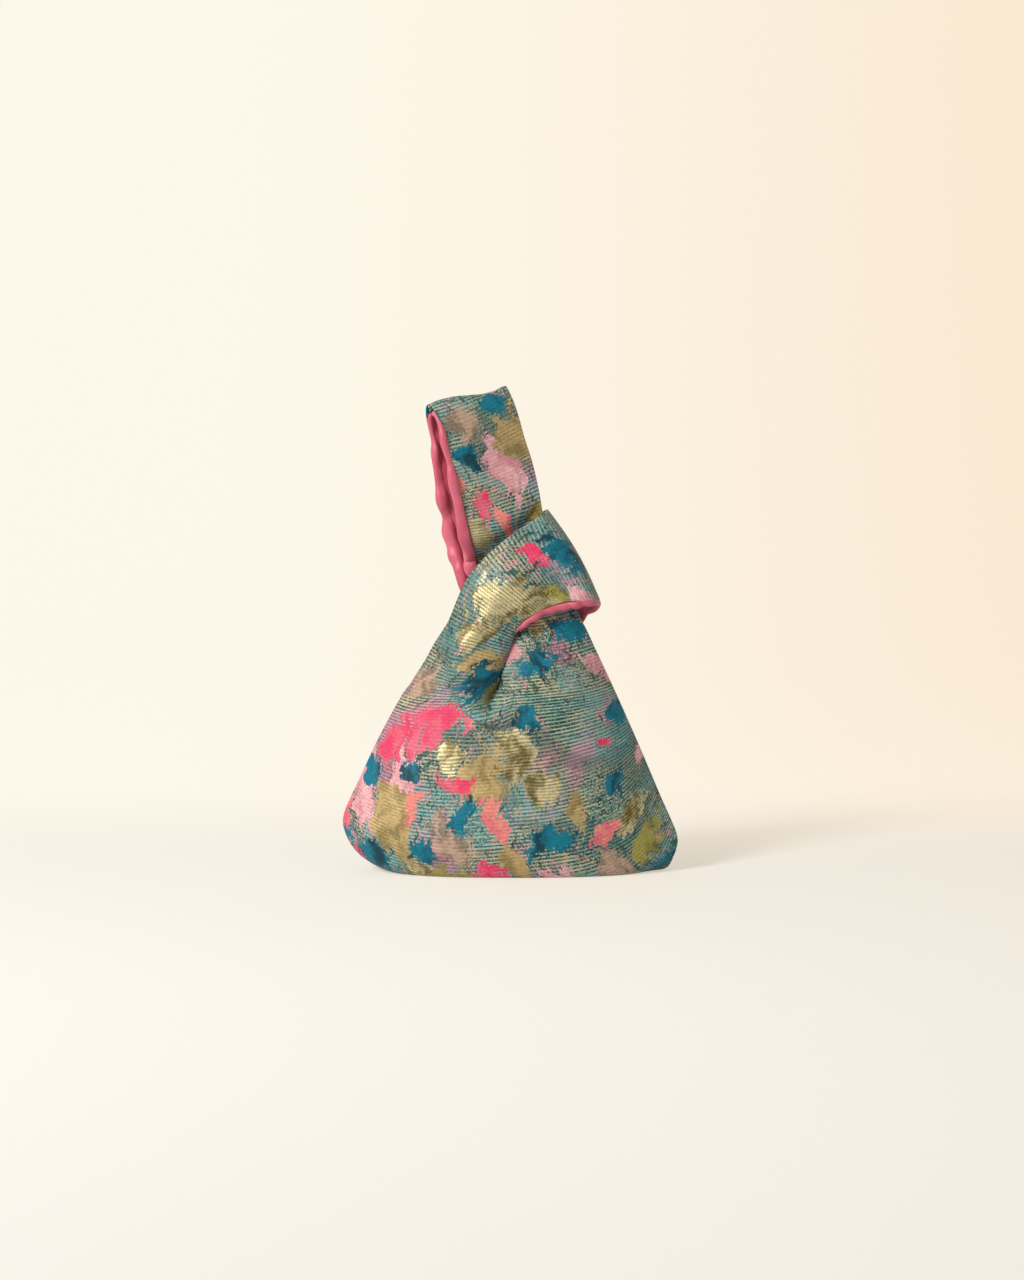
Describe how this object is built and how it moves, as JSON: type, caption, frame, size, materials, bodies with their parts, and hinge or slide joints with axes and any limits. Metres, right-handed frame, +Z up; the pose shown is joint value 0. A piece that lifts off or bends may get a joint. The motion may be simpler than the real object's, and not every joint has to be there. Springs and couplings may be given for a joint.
{
  "type": "knot bag",
  "caption": "Small stuffed knot bag of abstract brocade with a satin lining; the long handle passes through the short one and makes a wrist loop.",
  "frame": {"origin": "middle of the bag's box, on the surface it stands on", "axes": "+Z up, front towards -Y, +X to the right of the front"},
  "size_m": [0.1996, 0.076, 0.2845],
  "materials": {
    "brocade": "ribbed jacquard weave, teal, sage and pink with gold thread",
    "satin": "smooth pink satin"
  },
  "bodies": {
    "root": {"outer_front_panel": "brocade", "outer_back_panel": "brocade", "lining_front_panel": "satin", "lining_back_panel": "satin"}
  },
  "joints": []
}
